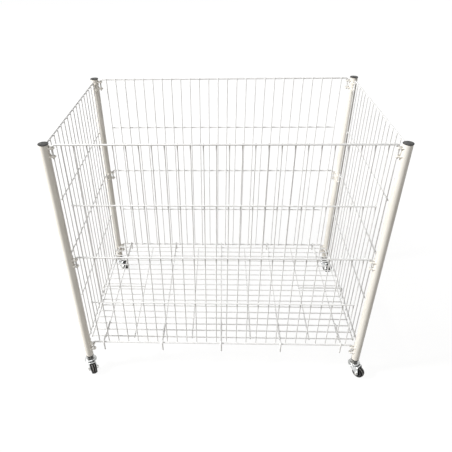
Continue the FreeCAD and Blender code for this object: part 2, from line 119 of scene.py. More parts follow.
def makeDrift():  # slow drift between two tones, and the value that drives it
    tree, given, out = newTree("toneDrift", "ShaderNodeTree", [
        ("Vector", "Vector"), ("Scale", "Float", 12.0),
        ("Pale", "Color", (1, 1, 1, 1)), ("Deep", "Color", (0, 0, 0, 1))],
        [("Color", "Color"), ("Value", "Float")])
    cloud = addNoise(tree, given["Vector"], given["Scale"], driftNoise["detail"])
    spread = addRamp(tree, cloud, *driftNoise["reach"])
    tree.links.new(addMix(tree, spread, given["Pale"], given["Deep"]), out["Color"])
    tree.links.new(spread, out["Value"])
    return tree


dustNoise = dict(detail=5.0, patches=(0.4, 0.7), upward=(0.3, 1.0))


def makeDust():  # masks of dust that lies on upward faces and of dirt thrown up near the floor
    tree, given, out = newTree("dustAndDirt", "ShaderNodeTree", [
        ("Vector", "Vector"), ("Scale", "Float", 60.0), ("Dust", "Float", 0.3), ("Dirt", "Float", 0.3),
        ("Reach", "Float", 0.14)], [("Dust", "Float"), ("Dirt", "Float")])
    cloud = addNoise(tree, given["Vector"], given["Scale"], dustNoise["detail"])
    patch = addRamp(tree, cloud, *dustNoise["patches"])
    normal = addNode(tree, "ShaderNodeNewGeometry").outputs["Normal"]
    facing = addNode(tree, "ShaderNodeSeparateXYZ", {0: normal}).outputs[2]
    height = addNode(tree, "ShaderNodeSeparateXYZ", {0: given["Vector"]}).outputs[2]
    upward = addRamp(tree, facing, *dustNoise["upward"])
    low = addRamp(tree, height, given["Reach"], 0.0)
    for name, cover in (("Dust", upward), ("Dirt", low)):
        patched = addMaths(tree, "MULTIPLY", cover, patch)
        tree.links.new(addMaths(tree, "MULTIPLY", patched, given[name]), out[name])
    return tree


sheenScuffNoise = dict(stretch=(5.0, 1.2, 1.2), scale=2.2, detail=3.0, broken=(0.36, 0.58))


def makeSheenScuff():  # pale broken streaks round a tyre, part painted highlight and part scuffs, on two bands of its tread either side of the middle
    tree, given, out = newTree("treadSheenScuff", "ShaderNodeTree", [
        ("Rolling", "Vector"), ("Bands", "Float", 0.4), ("Spread", "Float", 0.3), ("Amount", "Float", 0.8)],
        [("Mask", "Float")])
    across = addNode(tree, "ShaderNodeSeparateXYZ", {0: given["Rolling"]}).outputs[0]
    off = addMaths(tree, "SUBTRACT", addMaths(tree, "ABSOLUTE", across), given["Bands"])
    band = addRamp(tree, addMaths(tree, "ABSOLUTE", off), 0.0, given["Spread"], 1.0, 0.0)
    drawn = addNode(tree, "ShaderNodeVectorMath", {
        0: given["Rolling"], 1: sheenScuffNoise["stretch"]}, operation="MULTIPLY").outputs[0]
    cloud = addNoise(tree, drawn, sheenScuffNoise["scale"], sheenScuffNoise["detail"])
    broken = addRamp(tree, cloud, *sheenScuffNoise["broken"])
    both = addMaths(tree, "MULTIPLY", band, broken)
    tree.links.new(addMaths(tree, "MULTIPLY", both, given["Amount"]), out["Mask"])
    return tree


grainGroup, driftGroup, dustGroup, sheenScuffGroup = makeGrain(), makeDrift(), makeDust(), makeSheenScuff()
print("shader groups made")


def finish(name, look):
    material = bpy.data.materials.new(name)
    material.use_nodes = True
    tree = material.node_tree
    shader = tree.nodes["Principled BSDF"]
    where = addNode(tree, "ShaderNodeTexCoord").outputs["Object"]

    def placed(group, **values):
        return addNode(tree, "ShaderNodeGroup", values, node_tree=group).outputs

    drift = placed(driftGroup, Vector=where, Scale=look["driftScale"],
                   Pale=(*look["pale"], 1), Deep=(*look["deep"], 1))
    soil = placed(dustGroup, Vector=where, Scale=look["soilScale"], Dust=look["dust"], Dirt=look["dirt"])
    colour = addMix(tree, soil["Dust"], drift["Color"], (*look["dustColour"], 1))
    colour = addMix(tree, soil["Dirt"], colour, (*look["dirtColour"], 1))
    # A tyre's pale tread streaks: painted highlight as well as scuffs.
    if look["sheenScuff"]:
        rolling = addNode(tree, "ShaderNodeAttribute", attribute_name="rolling").outputs["Vector"]
        sheenScuff = placed(sheenScuffGroup, Rolling=rolling, Bands=look["sheenScuffBands"], Spread=look["sheenScuffSpread"],
                       Amount=look["sheenScuff"])
        colour = addMix(tree, sheenScuff["Mask"], colour, (*look["sheenScuffColour"], 1))
    tree.links.new(colour, shader.inputs["Base Color"])
    rough = addRamp(tree, drift["Value"], 0.0, 1.0, *look["roughness"])
    tree.links.new(addMaths(tree, "MAXIMUM", soil["Dust"], rough), shader.inputs["Roughness"])
    grain = placed(grainGroup, Vector=where, Scale=look["grainScale"], Fine=look["grainFine"])
    bump = addNode(tree, "ShaderNodeBump", {
        "Height": grain["Height"], "Strength": look["bump"], "Distance": look["grainDepth"]})
    tree.links.new(bump.outputs[0], shader.inputs["Normal"])
    for socket, value in (("Metallic", "metallic"), ("Specular IOR Level", "specular"),
                          ("Coat Weight", "coat"), ("Coat Roughness", "coatRoughness")):
        shader.inputs[socket].default_value = look[value]
    return material


# Every finish starts from another one and says only what differs.
plainLook = dict(metallic=0.0, specular=0.5, coat=0.0, coatRoughness=0.2, sheenScuff=0.0)
powderCoat = dict(
    plainLook, pale=(0.90, 0.869, 0.805), deep=(0.85, 0.814, 0.745), driftScale=9.0,
    roughness=(0.34, 0.46), coat=0.15, coatRoughness=0.25,
    grainScale=850.0, grainFine=0.3, bump=0.25, grainDepth=0.0004,
    soilScale=45.0, dust=0.10, dirt=0.3, dustColour=(0.66, 0.63, 0.58), dirtColour=(0.42, 0.37, 0.31))
wireCoat = dict(
    powderCoat, pale=(0.87, 0.868, 0.862), deep=(0.82, 0.815, 0.803), driftScale=14.0, dust=0.05, dirt=0.15)
capPlastic = dict(
    plainLook, pale=(0.050, 0.050, 0.049), deep=(0.026, 0.026, 0.026), driftScale=60.0,
    roughness=(0.42, 0.58), specular=0.3, grainScale=1900.0, grainFine=0.6, bump=0.35, grainDepth=0.0003,
    soilScale=160.0, dust=0.35, dirt=0.0, dustColour=(0.22, 0.215, 0.20), dirtColour=(0.2, 0.19, 0.17))
socketPlastic = dict(capPlastic, pale=(0.035, 0.035, 0.036), deep=(0.02, 0.02, 0.021), dust=0.25)
washerPlastic = dict(capPlastic, pale=(0.5, 0.49, 0.46), deep=(0.4, 0.39, 0.36))
zincPlate = dict(
    plainLook, pale=(0.82, 0.83, 0.84), deep=(0.52, 0.53, 0.52), driftScale=95.0,
    roughness=(0.2, 0.42), metallic=1.0, grainScale=1400.0, grainFine=0.5, bump=0.2, grainDepth=0.0003,
    soilScale=110.0, dust=0.15, dirt=0.25, dustColour=(0.55, 0.53, 0.50), dirtColour=(0.26, 0.25, 0.23))
axleSteel = dict(zincPlate, pale=(0.72, 0.72, 0.70), deep=(0.5, 0.49, 0.46), roughness=(0.22, 0.4))
# Near-black steel with heavy dirt for the stems and their hex collars: painted shade for the gap under each
# tube.
stemPaintedShade = dict(
    axleSteel, pale=(0.13, 0.127, 0.12), deep=(0.035, 0.034, 0.032), roughness=(0.3, 0.5), dirt=0.7)
tyreRubber = dict(
    plainLook, pale=(0.010, 0.010, 0.010), deep=(0.004, 0.004, 0.004), driftScale=55.0,
    roughness=(0.30, 0.46), specular=0.09, grainScale=1500.0, grainFine=0.7, bump=0.25, grainDepth=0.0004,
    # The pale tread streaks are painted highlight as well as scuffs.
    sheenScuff=0.95, sheenScuffColour=(0.46, 0.45, 0.43), sheenScuffBands=0.42, sheenScuffSpread=0.22,
    soilScale=130.0, dust=0.15, dirt=0.25, dustColour=(0.20, 0.19, 0.17), dirtColour=(0.08, 0.075, 0.07))
hubPlastic = dict(
    tyreRubber, pale=(0.042, 0.042, 0.043), deep=(0.022, 0.022, 0.023), roughness=(0.3, 0.45),
    specular=0.4, sheenScuff=0.0)

looks = {
    "post_coat": finish("postPowderCoat", powderCoat),
    "wire_coat": finish("wirePowderCoat", wireCoat),
    "cap_plastic": finish("capPlastic", capPlastic),
    "socket_plastic": finish("socketPlastic", socketPlastic),
    "zinc_plate": finish("zincPlate", zincPlate),
    "axle_steel": finish("axleSteel", axleSteel),
    "stem_painted_shade": finish("stemPaintedShade", stemPaintedShade),
    "washer_plastic": finish("washerPlastic", washerPlastic),
    "tyre_rubber": finish("tyreRubber", tyreRubber),
    "hub_plastic": finish("hubPlastic", hubPlastic),
}
print("finishes made:", len(looks))


# Geometry node trees for the wire work. A bowed wire has bowPoints along it, and a bend takes bendSteps.
roundWire = dict(sides=12, bowPoints=9, bendSteps=6, beadDivisions=2, beadSpread=0.18)


def newWireTree(name, inputs):
    return newTree(name, "GeometryNodeTree", [
        ("Geometry", "Geometry"), *inputs, ("Material", "Material")], [("Geometry", "Geometry")])


def sweptWire(tree, curve, given):  # round wire along every spline, its sides smooth and its cut ends flat
    circle = addNode(tree, "GeometryNodeCurvePrimitiveCircle", {
        "Resolution": given["Sides"], "Radius": given["Radius"]})
    tube = addNode(tree, "GeometryNodeCurveToMesh", {
        "Curve": curve, "Profile Curve": circle.outputs["Curve"], "Fill Caps": True})
    faceCorners = addNode(tree, "GeometryNodeInputMeshFaceNeighbors").outputs["Vertex Count"]
    fourSided = addNode(tree, "FunctionNodeCompare", {  # sockets 2 and 3 are the whole numbers to compare
        2: faceCorners, 3: 4}, data_type="INT", operation="EQUAL")
    return addNode(tree, "GeometryNodeSetShadeSmooth", {
        "Geometry": tube.outputs["Mesh"], "Shade Smooth": fourSided.outputs["Result"]}).outputs[0]


def closeTree(tree, geometry, given, out):
    real = addNode(tree, "GeometryNodeRealizeInstances", {"Geometry": geometry})
    last = addNode(tree, "GeometryNodeSetMaterial", {
        "Geometry": real.outputs[0], "Material": given["Material"]})
    tree.links.new(last.outputs[0], out["Geometry"])
    return tree


def makeRowTree():  # a row of parallel wires, each bowed a little its own way
    tree, given, out = newWireTree("wireRow", [
        ("Count", "Int", 2), ("Start", "Vector"), ("Step", "Vector"), ("Run", "Vector"),
        ("Radius", "Float", 0.002), ("Sides", "Int", 12), ("Bow", "Float", 0.0), ("Seed", "Int", 1)])
    row = addNode(tree, "GeometryNodeMeshLine", {
        "Count": given["Count"], "Start Location": given["Start"], "Offset": given["Step"]})
    line = addNode(tree, "GeometryNodeCurvePrimitiveLine", {"End": given["Run"]})
    spans = addNode(tree, "GeometryNodeResampleCurve", {
        "Curve": line.outputs[0], "Count": roundWire["bowPoints"]})
    laid = addNode(tree, "GeometryNodeInstanceOnPoints", {
        "Points": row.outputs[0], "Instance": spans.outputs[0]})
    wires = addNode(tree, "GeometryNodeRealizeInstances", {"Geometry": laid.outputs[0]})
    along = addNode(tree, "GeometryNodeSplineParameter").outputs["Factor"]
    arch = addMaths(tree, "SINE", addMaths(tree, "MULTIPLY", along, math.pi))
    whichWire = addNode(tree, "GeometryNodeCurveOfPoint").outputs[0]
    way = addNode(tree, "FunctionNodeRandomValue", {  # sockets 0 and 1 are the lowest and highest vector
        0: (-1.0, -1.0, -1.0), 1: (1.0, 1.0, 1.0), "ID": whichWire, "Seed": given["Seed"]},
        data_type="FLOAT_VECTOR")
    depth = addMaths(tree, "MULTIPLY", arch, given["Bow"])
    shift = addNode(tree, "ShaderNodeVectorMath", {0: way.outputs[0], 3: depth}, operation="SCALE")
    bowed = addNode(tree, "GeometryNodeSetPosition", {
        "Geometry": wires.outputs[0], "Offset": shift.outputs[0]})
    return closeTree(tree, sweptWire(tree, bowed.outputs[0], given), given, out)


def makeBentTree():  # wires along given runs, bent round at their corners
    tree, given, out = newWireTree("bentWire", [
        ("Radius", "Float", 0.002), ("Bend", "Float", 0.005), ("Sides", "Int", 12)])
    path = addNode(tree, "GeometryNodeMeshToCurve", {"Mesh": given["Geometry"]})
    bent = addNode(tree, "GeometryNodeFilletCurve", {
        "Curve": path.outputs[0], "Radius": given["Bend"], "Limit Radius": True,
        "Count": roundWire["bendSteps"]}, mode="POLY")
    return closeTree(tree, sweptWire(tree, bent.outputs[0], given), given, out)


def makeBeadTree():  # weld beads, one on each given point
    tree, given, out = newWireTree("weldBeads", [
        ("Size", "Vector"), ("Spread", "Float", 0.18), ("Seed", "Int", 1)])
    ball = addNode(tree, "GeometryNodeMeshIcoSphere", {
        "Radius": 1.0, "Subdivisions": roundWire["beadDivisions"]})
    low = addMaths(tree, "SUBTRACT", 1.0, given["Spread"])
    high = addMaths(tree, "ADD", 1.0, given["Spread"])
    share = addNode(tree, "FunctionNodeRandomValue", {  # sockets 2 and 3 are the lowest and highest number
        2: low, 3: high, "Seed": given["Seed"]}, data_type="FLOAT")
    size = addNode(tree, "ShaderNodeVectorMath", {0: given["Size"], 3: share.outputs[1]}, operation="SCALE")
    beads = addNode(tree, "GeometryNodeInstanceOnPoints", {
        "Points": given["Geometry"], "Instance": ball.outputs["Mesh"], "Scale": size.outputs[0]})
    real = addNode(tree, "GeometryNodeRealizeInstances", {"Geometry": beads.outputs[0]})
    smooth = addNode(tree, "GeometryNodeSetShadeSmooth", {"Geometry": real.outputs[0]})
    return closeTree(tree, smooth.outputs[0], given, out)


rowTree, bentTree, beadTree = makeRowTree(), makeBentTree(), makeBeadTree()
print("wire trees made")


def grown(tree, values, mesh=None):  # the plain mesh that a tree makes from these inputs
    holder = bpy.data.objects.new("holder", mesh or bpy.data.meshes.new("holder"))
    bpy.context.scene.collection.objects.link(holder)
    modifier = holder.modifiers.new("wires", "NODES")
    modifier.node_group = tree
    for item in tree.interface.items_tree:
        if item.in_out == "INPUT" and item.name in values:
            modifier[item.identifier] = values[item.name]
    graph = bpy.context.evaluated_depsgraph_get()
    made = bpy.data.meshes.new_from_object(holder.evaluated_get(graph))
    bpy.data.objects.remove(holder)
    return made


def edgeMesh(paths):
    points = [point for path in paths for point in path]
    edges, first = [], 0
    for path in paths:
        edges += [(first + step, first + step + 1) for step in range(len(path) - 1)]
        first += len(path)
    mesh = bpy.data.meshes.new("paths")
    mesh.from_pydata(points, edges, [])
    return mesh


def wireRow(count, start, step, run, radius, material, bow, seed):
    return grown(rowTree, {
        "Count": count, "Start": Vector(start), "Step": Vector(step), "Run": Vector(run), "Radius": radius,
        "Sides": roundWire["sides"], "Bow": bow, "Seed": seed, "Material": material})


def bentWires(paths, radius, bend, material):
    return grown(bentTree, {
        "Radius": radius, "Bend": bend, "Sides": roundWire["sides"], "Material": material}, edgeMesh(paths))


def weldBeads(points, size, material, seed):
    mesh = bpy.data.meshes.new("points")
    mesh.from_pydata(points, [], [])
    return grown(beadTree, {
        "Size": Vector(size), "Spread": roundWire["beadSpread"], "Seed": seed, "Material": material}, mesh)


def addPiece(name, meshes, body, slot, *nodes, look=None):
    whole = bmesh.new()
    for mesh in meshes:
        whole.from_mesh(mesh)
    result = bpy.data.meshes.new(name)
    whole.to_mesh(result)
    whole.free()
    result.materials.clear()
    result.materials.append(looks[look or slot])
    result.polygons.foreach_set("material_index", [0] * len(result.polygons))
    piece = bpy.data.objects.new(name, result)
    bpy.context.scene.collection.objects.link(piece)
    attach(piece, body)
    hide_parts(*nodes)


# Outlines of turned pieces are closed lists of (radius, height).
onAxis = 1e-6  # a smaller radius counts as on the axis
leastReach = 1e-5  # a corner with less room than this stays sharp
edgeShare = 0.45  # of an edge, the most that the rounding at one end takes


def eased(outline, radius, steps):  # the same outline with its corners rounded
    result = []
    count = len(outline)
    for index, corner in enumerate(outline):
        here = Vector(corner)
        before, after = Vector(outline[index - 1]) - here, Vector(outline[(index + 1) % count]) - here
        reach = min(radius, before.length * edgeShare, after.length * edgeShare)
        if corner[0] < onAxis or reach < leastReach:
            result.append(tuple(here))
            continue
        enter, leave = here + before.normalized() * reach, here + after.normalized() * reach
        for step in range(steps + 1):
            part = step / steps
            result.append(tuple(enter * (1 - part) ** 2 + here * 2 * part * (1 - part) + leave * part ** 2))
    return result


def turned(outline, sides, place=Matrix.Identity(4)):  # an outline turned about Z, then put in its place
    mesh = bmesh.new()
    rings = []
    for index in range(sides):
        angle = 2 * math.pi * index / sides
        rings.append([mesh.verts.new((r * math.cos(angle), r * math.sin(angle), z)) for r, z in outline])
    for index in range(sides):
        one, two = rings[index], rings[(index + 1) % sides]
        for step in range(len(outline)):
            other = (step + 1) % len(outline)
            if outline[step][0] < onAxis and outline[other][0] < onAxis:
                continue
            mesh.faces.new((one[step], two[step], two[other], one[other]))
    bmesh.ops.remove_doubles(mesh, verts=mesh.verts, dist=onAxis)
    bmesh.ops.recalc_face_normals(mesh, faces=mesh.faces)
    for face in mesh.faces:
        face.smooth = True
    mesh.transform(place)
    result = bpy.data.meshes.new("turned")
    mesh.to_mesh(result)
    mesh.free()
    return result


def weighted(mesh, bevel=0.0, segments=2, angle=35):  # edges rounded on request, and flats shaded flat
    holder = bpy.data.objects.new("holder", mesh)
    bpy.context.scene.collection.objects.link(holder)
    if bevel:
        edge = holder.modifiers.new("edges", "BEVEL")
        edge.width, edge.segments, edge.limit_method = bevel, segments, "ANGLE"
        edge.angle_limit = math.radians(angle)
    holder.modifiers.new("normals", "WEIGHTED_NORMAL").keep_sharp = True
    graph = bpy.context.evaluated_depsgraph_get()
    made = bpy.data.meshes.new_from_object(holder.evaluated_get(graph))
    bpy.data.objects.remove(holder)
    return made


def postFrame(corner):  # where a post stands, its radius, and the heights of its two ends
    low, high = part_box("post_" + corner)
    at = Matrix.Translation(((low.x + high.x) / 2, (low.y + high.y) / 2, 0))
    return at, (high.x - low.x) / 2, low.z, high.z


# Wire panels. Every other rail, the top one first, is the thicker kind with hooked ends.
panelWires = dict(
    rail=0.0025, slimRail=0.0020, upright=0.0016,  # radii
    rails=5, railStep=0.172, uprightStep=0.032, margin=0.042, hookDrop=0.037, bend=0.0085,
    bow=0.0004, bead=(0.0021, 0.0013, 0.0021), beadShift=0.0003, firstSeed=3)
post = [(low + high) / 2 for low, high in zip(*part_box("post_back_right"))]  # its axis; the others mirror it


def panel(node, seed):
    low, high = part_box(node)
    rail, slimRail, upright = (panelWires[name] for name in ("rail", "slimRail", "upright"))
    wide = 0 if high.x - low.x > high.y - low.y else 1  # axis that the panel runs along
    across = 1 - wide
    side = 1 if low[across] + high[across] > 0 else -1
    plane = high[across] - rail if side > 0 else low[across] + rail
    inner = plane - side * (rail + upright)
    top, reach = high.z - rail, high[wide] - rail
    levels = [top - level * panelWires["railStep"] for level in range(panelWires["rails"])]
    coat = looks["wire_coat"]

    def spot(along, depth, height):
        point = [0.0, 0.0, height]
        point[wide], point[across] = along, depth
        return tuple(point)

    outermost = post[wide] - panelWires["margin"]
    hooked = [[spot(-reach, plane, z - panelWires["hookDrop"]), spot(-reach, plane, z), spot(reach, plane, z),
               spot(reach, plane, z - panelWires["hookDrop"])] for z in levels[::2]]
    slimDepth = plane - side * (rail - slimRail)
    slimEnd = outermost + upright
    slim = [[spot(-slimEnd, slimDepth, z), spot(slimEnd, slimDepth, z)] for z in levels[1::2]]
    count = round(2 * outermost / panelWires["uprightStep"]) + 1
    step = 2 * outermost / (count - 1)
    foot = levels[-1] - rail
    beadDepth = (plane + inner) / 2 - side * panelWires["beadShift"]
    beads = [spot(-outermost + index * step, beadDepth, z) for index in range(count) for z in levels]
    addPiece(node + "_wires", [
        bentWires(hooked, rail, panelWires["bend"], coat),
        bentWires(slim, slimRail, panelWires["bend"], coat),
        wireRow(count, spot(-outermost, inner, foot), spot(step, 0, 0), (0, 0, high.z - foot),
                upright, coat, panelWires["bow"], seed),
        weldBeads(beads, spot(*panelWires["bead"]), coat, seed)], "frame", "wire_coat", node)


panelNodes = ("front_panel", "back_panel", "left_panel", "right_panel")
for seed, node in enumerate(panelNodes, panelWires["firstSeed"]):
    panel(node, seed)
print("wire panels made")


# Loops on the posts. Each of the panels' hooks drops into one loop over another.
loopWires = dict(
    radius=0.002, half=0.005, bend=0.0038, reach=0.0245, firstDrop=0.00834, tiers=2, spacing=0.022,
    sideDrop=0.004, sunk=0.0012, bead=(0.0032, 0.0032, 0.0026), seed=11)


def loops(corner):
    side, depth = corners[corner]
    at, tube, _, _ = postFrame(corner)
    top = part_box("front_panel")[1].z - panelWires["rail"]
    half, reach, sunk = (loopWires[name] for name in ("half", "reach", "sunk"))
    root = math.sqrt(tube ** 2 - half ** 2) - sunk
    paths, beads = [], []
    for heading, drop in ((Vector((-side, 0, 0)), 0.0), (Vector((0, -depth, 0)), loopWires["sideDrop"])):
        beside = Vector((-heading.y, heading.x, 0))
        for level in range(0, panelWires["rails"], 2):
            for tier in range(loopWires["tiers"]):
                height = top - drop - level * panelWires["railStep"] - loopWires["firstDrop"]
                centre = at.translation + Vector((0, 0, height - tier * loopWires["spacing"]))
                path = [centre + heading * out + beside * way * half
                        for out, way in ((root, 1), (reach, 1), (reach, -1), (root, -1))]
                paths.append([tuple(point) for point in path])
                beads += [tuple(path[index] + heading * sunk) for index in (0, -1)]
    addPiece("loops_" + corner + "_wires", [
        bentWires(paths, loopWires["radius"], loopWires["bend"], looks["post_coat"]),
        weldBeads(beads, loopWires["bead"], looks["post_coat"], loopWires["seed"])],
        "frame", "post_coat", "loops_" + corner)


for corner in corners:
    loops(corner)
print("loops made")


# The deck: long wires over cross wires, a bead where they meet, and hooks over the bottom rails.
deckWires = dict(
    wire=0.002, step=0.030, crossStep=0.096, bow=0.0007, bead=(0.0024, 0.0024, 0.0015),
    longSeed=21, crossSeed=30, beadSeed=5)
hookWires = dict(
    wire=0.0025, aLongSide=5, everyCross=2, reach=0.090, sideReach=0.156, over=0.0053, tip=0.0343, bend=0.005)


def deckMesh():
    low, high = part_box("deck_mesh")
    r, bow, coat = deckWires["wire"], deckWires["bow"], looks["wire_coat"]
    edgeX, edgeY, upper, under = high.x - r, high.y - r, high.z - r, low.z + r
    count = round(2 * edgeY / deckWires["step"]) + 1
    step = 2 * edgeY / (count - 1)
    half = int(edgeX / deckWires["crossStep"])
    stations = [-edgeX, *[index * deckWires["crossStep"] for index in range(-half, half + 1)], edgeX]
    rows = [wireRow(count, (low.x, -edgeY, upper), (0, step, 0), (high.x - low.x, 0, 0),
                    r, coat, bow, deckWires["longSeed"])]
    rows += [wireRow(1, (x, low.y, under), (0, 0, 0), (0, high.y - low.y, 0),
                     r, coat, bow, deckWires["crossSeed"] + index) for index, x in enumerate(stations)]
    beads = [(x, -edgeY + index * step, (upper + under) / 2) for x in stations for index in range(count)]
    addPiece("deck_mesh_wires", [*rows, weldBeads(beads, deckWires["bead"], coat, deckWires["beadSeed"])],
             "deck", "wire_coat", "deck_mesh")


def deckHooks():
    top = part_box("deck_hooks")[1].z - hookWires["wire"]
    down = Vector((0, 0, -hookWires["tip"]))
    spacing = hookWires["everyCross"] * deckWires["crossStep"]
    paths = []

    def hook(at, way, reach):
        at, way = Vector(at), Vector(way)
        bend = at + way * hookWires["over"]
        paths.append([tuple(at - way * reach), tuple(bend), tuple(bend + down)])

    for index in range(hookWires["aLongSide"]):
        for way in (-1, 1):
            x = (index - hookWires["aLongSide"] // 2) * spacing
            hook((x, way * post[1], top), (0, way, 0), hookWires["reach"])
    for way in (-1, 1):
        hook((way * post[0], 0, top - loopWires["sideDrop"]), (way, 0, 0), hookWires["sideReach"])
    addPiece("deck_hook_wires", [bentWires(paths, hookWires["wire"], hookWires["bend"], looks["wire_coat"])],
             "deck", "wire_coat", "deck_hooks")


deckMesh()
deckHooks()
print("deck made")


# Posts and their end caps. A cap's top slopes gently to its knee, then down to its rim.
postTube = dict(wall=0.0012, lip=0.0004, sides=64)
endCap = dict(clearance=0.0013, crown=0.0012, kneeAt=0.6, kneeDrop=0.2, soft=0.0014, sides=64)


def posts():
    for corner in corners:
        at, radius, foot, top = postFrame(corner)
        inside = radius - postTube["wall"]
        tube = eased([(inside, foot), (radius, foot), (radius, top), (inside, top)], postTube["lip"], steps=2)
        addPiece("post_" + corner + "_tube", [weighted(turned(tube, postTube["sides"], at))],
                 "frame", "post_coat", "post_" + corner)
        base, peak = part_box("cap_" + corner)
        rim, plug, crown = (peak.x - base.x) / 2, radius - endCap["clearance"], endCap["crown"]
        cap = [(0, base.z), (plug, base.z), (plug, top), (rim, top), (rim, peak.z - crown),
               (rim * endCap["kneeAt"], peak.z - crown * endCap["kneeDrop"]), (0, peak.z)]
        cap = eased(cap, endCap["soft"], steps=4)
        addPiece("cap_" + corner + "_dome", [weighted(turned(cap, endCap["sides"], at))],
                 "frame", "cap_plastic", "cap_" + corner)


posts()
print("posts and caps made")


def casterFrame(corner):  # a caster's place: on the ground X trails, and in the axle's frame Z runs along it
    swivel, roll = (next(joint for joint in frame["joints"] if joint["child"] == part + corner)
                    for part in ("fork_", "wheel_"))
    pivot, axle = Vector(swivel["pos_m"]), Vector(roll["pos_m"])
    yaw = math.atan2(axle.y - pivot.y, axle.x - pivot.x)
    trail = math.hypot(axle.x - pivot.x, axle.y - pivot.y)
    ground = Matrix.Translation((pivot.x, pivot.y, 0)) @ Matrix.Rotation(yaw, 4, "Z")
    centre = ground @ Matrix.Translation((trail, 0, axle.z)) @ Matrix.Rotation(-math.pi / 2, 4, "X")
    return dict(ground=ground, axle=centre, trail=trail, height=axle.z)


def arc(centre, radius, first, last, steps):  # points round a centre, from one angle to the other in degrees
    turns = [math.radians(first + (last - first) * step / steps) for step in range(steps + 1)]
    return [(centre[0] + radius * math.cos(turn), centre[1] + radius * math.sin(turn)) for turn in turns]


def extrudedFace(points, run):  # solid made by moving a flat outline along a straight run
    work = bmesh.new()
    face = work.faces.new([work.verts.new(point) for point in points])
    copied = bmesh.ops.extrude_face_region(work, geom=[face])["geom"]
    ends = [item for item in copied if isinstance(item, bmesh.types.BMVert)]
    bmesh.ops.translate(work, vec=run, verts=ends)
    bmesh.ops.recalc_face_normals(work, faces=work.faces)
    mesh = bpy.data.meshes.new("extruded")
    work.to_mesh(mesh)
    work.free()
    return mesh


def shared(first, second):  # the part that two solids have in common
    holders = [bpy.data.objects.new("holder", mesh) for mesh in (first, second)]
    for holder in holders:
        bpy.context.scene.collection.objects.link(holder)
    trim = holders[0].modifiers.new("trim", "BOOLEAN")
    trim.operation, trim.solver, trim.object = "INTERSECT", "EXACT", holders[1]
    graph = bpy.context.evaluated_depsgraph_get()
    made = bpy.data.meshes.new_from_object(holders[0].evaluated_get(graph))
    for holder in holders:
        bpy.data.objects.remove(holder)
    return made


def moved(mesh, place):
    mesh.transform(place)
    return mesh


def smoothFaces(mesh, angle=30):  # smooth all over, but for edges that turn by more than the angle
    work = bmesh.new()
    work.from_mesh(mesh)
    for face in work.faces:
        face.smooth = True
    for edge in work.edges:
        edge.smooth = edge.calc_face_angle(0) < math.radians(angle)
    work.to_mesh(mesh)
    work.free()
    return mesh


# Forks: a sheet bent to a U upside down, cut to its side view, with a raceway turned up round its eye.
forkShape = dict(
    gauge=0.002, inside=0.0105, lead=0.005, depth=0.032, bendOutside=0.0036, bendInside=0.0016, bendSteps=6,
    skirt=0.004, waist=0.0022, waistSteps=8,  # the straight top of a leg's edge, and its draw below
    boss=0.0065, bossTurn=15, bossSteps=12,  # rounding about the axle, from so many degrees below level
    edge=0.0003, spare=0.001,  # the pressing's soft edges, and how far each cutting shape passes the other
    eye=0.0051, crown=0.020, race=0.014, raceRise=0.004, raceFoot=0.0015, raceKnee=0.35, raceTaper=0.0008,
    raceSoft=0.0009, raceSides=64)


def forkProfile(trail, axleHeight, crownTop):  # side view of the legs, drawn in and rounded about the axle
    middle = trail / 2 - forkShape["lead"]
    back, front = middle - forkShape["depth"] / 2, middle + forkShape["depth"] / 2
    skirt, turn = crownTop - forkShape["skirt"], forkShape["bossTurn"]
    boss = arc((trail, axleHeight), forkShape["boss"], 180 + turn, 360 - turn, forkShape["bossSteps"])
    endX, endZ = boss[0]
    points = [(front, crownTop), (back, crownTop), (back, skirt)]
    for step in range(1, forkShape["waistSteps"]):
        part = step / forkShape["waistSteps"]
        points.append((back + (endX - back) * part - forkShape["waist"] * math.sin(math.pi * part),
                       skirt + (endZ - skirt) * part))
    return points + boss


def bentSheet(crownTop, low, back, front):  # the sheet's cross-section, run along local X
    outside, inside = forkShape["inside"] + forkShape["gauge"], forkShape["inside"]
    under = crownTop - forkShape["gauge"]
    outer, inner, steps = (forkShape[name] for name in ("bendOutside", "bendInside", "bendSteps"))
    section = [(outside, low), *arc((outside - outer, crownTop - outer), outer, 0, 90, steps),
               *arc((outer - outside, crownTop - outer), outer, 90, 180, steps), (-outside, low),
               (-inside, low), *arc((inner - inside, under - inner), inner, 180, 90, steps),
               *arc((inside - inner, under - inner), inner, 90, 0, steps), (inside, low)]
    return extrudedFace([(back, y, z) for y, z in section], Vector((front - back, 0, 0)))


def fork(corner):
    caster = casterFrame(corner)
    low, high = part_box("fork_" + corner)
    eye, race, rise, spare = (forkShape[name] for name in ("eye", "race", "raceRise", "spare"))
    crownTop = high.z - rise
    under = crownTop - forkShape["gauge"]
    outline = forkProfile(caster["trail"], caster["height"], crownTop)
    ends = [x for x, _ in outline]
    width = forkShape["inside"] + forkShape["gauge"] + spare
    blade = extrudedFace([(x, -width, z) for x, z in outline], Vector((0, 2 * width, 0)))
    legs = shared(bentSheet(crownTop, low.z - spare, min(ends) - spare, max(ends) + spare), blade)
    crown = eased([
        (eye, under), (forkShape["crown"], under), (forkShape["crown"], crownTop),
        (race + forkShape["raceFoot"], crownTop), (race, crownTop + rise * forkShape["raceKnee"]),
        (race - forkShape["raceTaper"], crownTop + rise), (eye, crownTop + rise)],
        forkShape["raceSoft"], steps=3)
    addPiece("fork_" + corner + "_pressing", [
        weighted(smoothFaces(moved(legs, caster["ground"])), forkShape["edge"]),
        weighted(turned(crown, forkShape["raceSides"], caster["ground"]))],
        "fork_" + corner, "zinc_plate", "fork_" + corner)


